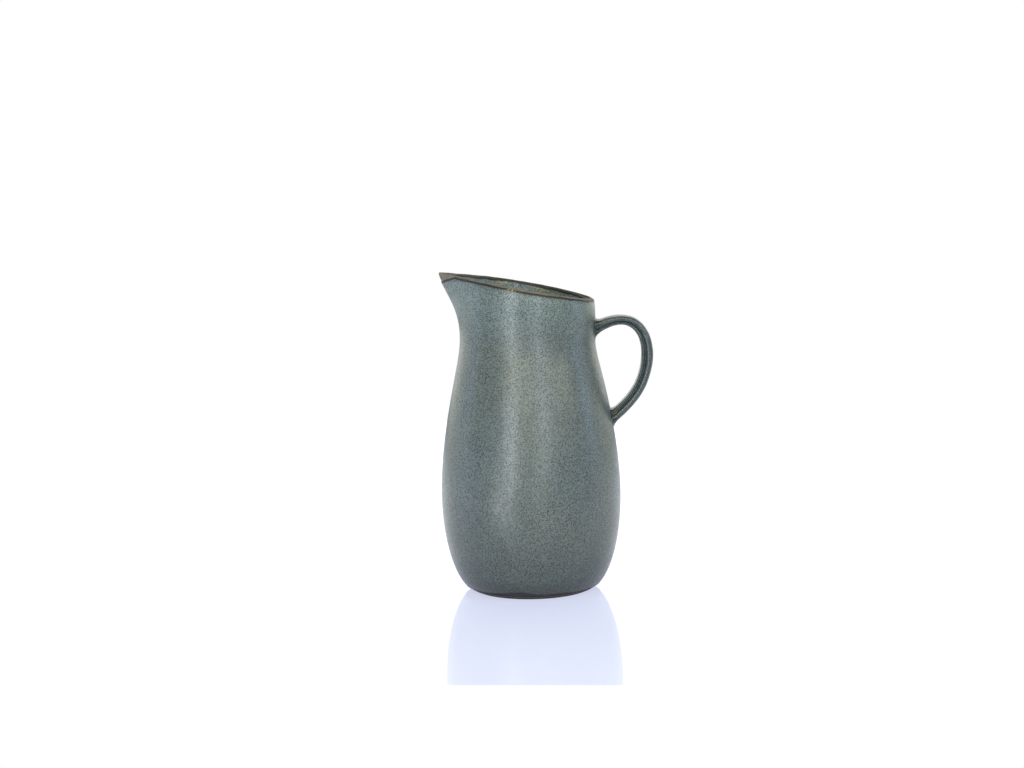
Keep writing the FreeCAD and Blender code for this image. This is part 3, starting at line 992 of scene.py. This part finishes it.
def make_bare_clay():
    """Unglazed stoneware: taupe at the lip, burnt brown at the foot, with sandy grain and a rubbed ring,
    painted shade inside the mouth and painted contact shadow at the foot.
    """
    g = Graph("bare_stoneware")
    color = g.blend(g.step(g.noise(CLAY_PATCH_SIZE, 3.0), 0.35, 0.7), CLAY_LIGHT, CLAY_DARK)
    grain = g.noise(SAND_SIZE, 3.0, 0.65)
    color = g.over(color, SAND_DARK, g.step(grain, 0.5, 0.34), 0.55)
    color = g.over(color, SAND_PALE, g.step(grain, 0.54, 0.68), 0.3)
    distance, number = g.cells(IRON_SPACING, 0.2)
    iron = g.math("MULTIPLY", g.step(distance, 0.3, 0.14), g.step(number, 0.7, 0.74))
    color = g.over(color, CLAY_IRON, iron, 0.7)
    height = g.height()
    # darker clay with painted shade inside the mouth
    color = g.over(color, INSIDE_CLAY_AND_SHADE, g.mark("inside"), 0.70)
    # burnt brown foot, darkened further by painted contact shadow
    color = g.over(color, BURNT_FOOT_AND_SHADOW, g.step(height, *BURNT_AND_SHADOW_TINT), 0.95)
    rubbed = g.math("MULTIPLY", g.step(height, *RUBBED_FROM), g.step(height, *RUBBED_TO))
    color = g.over(color, RUBBED_CLAY, rubbed, 0.55)
    g.set("Base Color", color)
    g.set("Roughness", g.math("MULTIPLY_ADD", grain, 0.25, 0.62))
    g.shader.inputs["IOR"].default_value = 1.45
    g.shader.inputs["Specular IOR Level"].default_value = 0.2
    g.bump([(g.noise(CLAY_SWELL_SIZE, 3.0), 0.08), (grain, 0.06)])
    return g.material


TABLE_PATCH_SIZE = 240.0
TABLE_LIGHT = (0.25, 0.265, 0.32, 1.0)
TABLE_DARK = (0.24, 0.255, 0.31, 1.0)
TABLE_GLOW = (0.95, 1.0, 1.27, 1.0)
TABLE_GLOW_STRENGTH = 0.565     # stands in for the light that a table in a bright room scatters


def make_table_top():
    """Pale glossy table, a little bluer than the light on it."""
    g = Graph("table_top")
    tone = g.blend(g.noise(TABLE_PATCH_SIZE, 2.0), TABLE_LIGHT, TABLE_DARK)
    g.set("Base Color", tone)
    g.set("Roughness", 0.04)
    g.shader.inputs["IOR"].default_value = 1.42
    g.set("Emission Color", TABLE_GLOW)
    g.set("Emission Strength", TABLE_GLOW_STRENGTH)
    return g.material


# ---- camera, light and table ---------------------------------
CAMERA_DISTANCE = 1600.0
CAMERA_RISE = radians(8.36)     # above the horizon
CAMERA_ROLL = radians(1.2)
TARGET_HEIGHT = 110.0
PICTURE_ASIDE = -14.35          # where the view is aimed from the target, across and up
PICTURE_ABOVE = 51.5
LENS = 71.45
TABLE_WIDTH = 3000.0
TABLE_DEPTH = 1300.0
TABLE_FRONT = 299.0             # from the pitcher's axis to the table's front edge
TABLE_GAP = 0.05                # under the foot ring, so that the two faces never share a plane
TABLE_TURN = radians(-4.4)


def make_camera():
    """Camera in front of the pitcher, a little above it and a little rolled."""
    back = Vector((0, -cos(CAMERA_RISE), sin(CAMERA_RISE)))
    level_right = Vector((1, 0, 0))
    level_up = back.cross(level_right)
    right = level_right * cos(CAMERA_ROLL) - level_up * sin(CAMERA_ROLL)
    up = level_up * cos(CAMERA_ROLL) + level_right * sin(CAMERA_ROLL)
    target = Vector((0, 0, TARGET_HEIGHT))
    place = target + back * CAMERA_DISTANCE
    aim = target + right * PICTURE_ASIDE + up * PICTURE_ABOVE
    forward = (aim - place).normalized()
    side = forward.cross(up).normalized()
    turn = Matrix((side, side.cross(forward), -forward)).transposed().to_4x4()
    data = bpy.data.cameras.new("camera")
    data.lens = LENS
    camera = bpy.data.objects.new("camera", data)
    camera.matrix_world = Matrix.Translation(place * MM) @ turn
    bpy.context.collection.objects.link(camera)
    bpy.context.scene.camera = camera


WHITE = (1.0, 1.0, 1.0)
SKY = (0.88, 0.95, 1.0)
PALE_BLUE = (0.80, 0.89, 1.0)
BLUE = (0.62, 0.76, 1.0)
DEEP_BLUE = (0.40, 0.62, 1.0)
PALE_GREEN = (0.95, 1.0, 0.82)
SUN = (1.0, 0.99, 0.76)
# Soft boxes round the pitcher: name, bearing in degrees to the right of the camera's side, height of the
# middle and its distance from the pitcher's axis, width, height, radiance, tint.
SOFT_BOXES = [
    ("key_high", -25, 240, 1100, 240, 420, 10.3, SKY),
    ("key_low", -37, -120, 1100, 400, 240, 7.5, SKY),
    ("fill_high", 19, 340, 1100, 180, 260, 11.0, PALE_BLUE),
    ("fill_low", 10, -20, 1100, 260, 400, 2.5, SKY),
    ("bank_left", -12, 620, 1050, 950, 340, 5.1, SUN),
    ("bank_right", 45, 620, 1050, 950, 340, 4.5, SUN),
    ("wall_left", -97, 200, 1100, 350, 900, 1.7, BLUE),
    ("wall_left_back", -130, 620, 1350, 1000, 1200, 1.35, PALE_GREEN),
    ("wall_back", 180, 620, 1350, 2200, 1200, 1.1, WHITE),
    ("wall_right_back", 130, 620, 1350, 1000, 1200, 1.0, PALE_GREEN),
    ("wall_right", 100, 320, 1100, 250, 760, 0.9, PALE_BLUE),
    ("streak_right", 88, 325, 1100, 30, 250, 33.0, DEEP_BLUE),
    ("back_high", 180, 1500, 1000, 1400, 800, 3.0, SUN),
]
ROOM_LIGHT = 0.25               # radiance of the room between the soft boxes


# Pale cards that lie on the table: name, how far their middle is to the right of the pitcher, tint.
CARDS = [
    ("card_left", -560.0, SUN),
    ("card_right", 560.0, SUN),
]
CARD_SIZE = 920.0
CARD_HEIGHT = 2.0
CARD_RADIANCE = 0.26


def make_soft_box(name, bearing, height, distance, width, tall, radiance, tint):
    """Soft box at a bearing round the pitcher, which faces it."""
    angle = radians(bearing)
    place = Vector((sin(angle) * distance, -cos(angle) * distance, height))
    make_light(name, place, Vector((0, 0, TARGET_HEIGHT)) - place, width, tall, radiance, tint)


def make_card(name, aside, tint):
    """Card beside the pitcher, which brightens the faces that lean over the table."""
    place = Vector((aside, 0, CARD_HEIGHT))
    make_light(name, place, Vector((0, 0, 1)), CARD_SIZE, CARD_SIZE, CARD_RADIANCE, tint)


def make_light(name, place, facing, width, tall, radiance, tint):
    """Rectangle of light with an even radiance, which the camera doesn't see."""
    data = bpy.data.lights.new(name, "AREA")
    data.shape = "RECTANGLE"
    data.size = width * MM
    data.size_y = tall * MM
    data.energy = radiance * pi * data.size * data.size_y
    data.color = tint
    light = bpy.data.objects.new(name, data)
    light.location = place * MM
    light.rotation_euler = facing.to_track_quat("-Z", "Y").to_euler()
    light.visible_camera = False
    bpy.context.collection.objects.link(light)


def make_table():
    """Glossy table whose front edge lies a little before the pitcher, level in the picture."""
    half = TABLE_WIDTH / 2
    corners = [(-half, 0, 0), (half, 0, 0), (half, TABLE_DEPTH, 0), (-half, TABLE_DEPTH, 0)]
    mesh = bpy.data.meshes.new("table")
    mesh.from_pydata((np.array(corners) * MM).tolist(), [], [(0, 1, 2, 3)])
    table = bpy.data.objects.new("table", mesh)
    table.location = (0, -TABLE_FRONT * MM, -TABLE_GAP * MM)
    table.rotation_euler = (0, 0, TABLE_TURN)
    bpy.context.collection.objects.link(table)
    table.data.materials.append(make_table_top())


def make_room():
    """White backdrop for the camera, and a dim even light on the pitcher."""
    world = bpy.data.worlds.new("room")
    world.use_nodes = True
    nodes = world.node_tree.nodes
    path = nodes.new("ShaderNodeLightPath")
    strength = nodes.new("ShaderNodeMapRange")
    strength.inputs["To Min"].default_value = ROOM_LIGHT
    strength.inputs["To Max"].default_value = 1.0
    world.node_tree.links.new(path.outputs["Is Camera Ray"], strength.inputs["Value"])
    world.node_tree.links.new(strength.outputs[0], nodes["Background"].inputs["Strength"])
    nodes["Background"].inputs["Color"].default_value = (1.0, 1.0, 1.0, 1.0)
    bpy.context.scene.world = world


def make_studio():
    """Room, table and lights."""
    make_room()
    make_table()
    for soft_box in SOFT_BOXES:
        make_soft_box(*soft_box)
    for card in CARDS:
        make_card(*card)
    bpy.context.scene.view_settings.view_transform = "Standard"


# ---- assembly ------------------------------------------------
outer_glaze = make_glaze("outer_glaze", OUTER_BLUE_GREY, OUTER_GREEN_GREY, 2.0)
inner_glaze = make_glaze("inner_glaze", INNER_BLUE_GREY, INNER_GREEN_GREY, 6.0)
bare_clay = make_bare_clay()

finish = [
    (make_stoneware(), bare_clay, "bare_stoneware"),
    (make_outer_coat(), outer_glaze, "outer_glaze"),
    (make_liner(), inner_glaze, "liner_glaze"),
    (make_underside_coat(), inner_glaze, "liner_glaze"),
    (make_strap(), bare_clay, "bare_stoneware"),
    (make_handle_coat(), outer_glaze, "outer_glaze"),
]
finish += [(joint, bare_clay, "bare_stoneware") for joint in make_joints()]
for piece, material, slot_name in finish:
    piece.data.materials.append(material)
    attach(piece, "root")

make_camera()
make_studio()
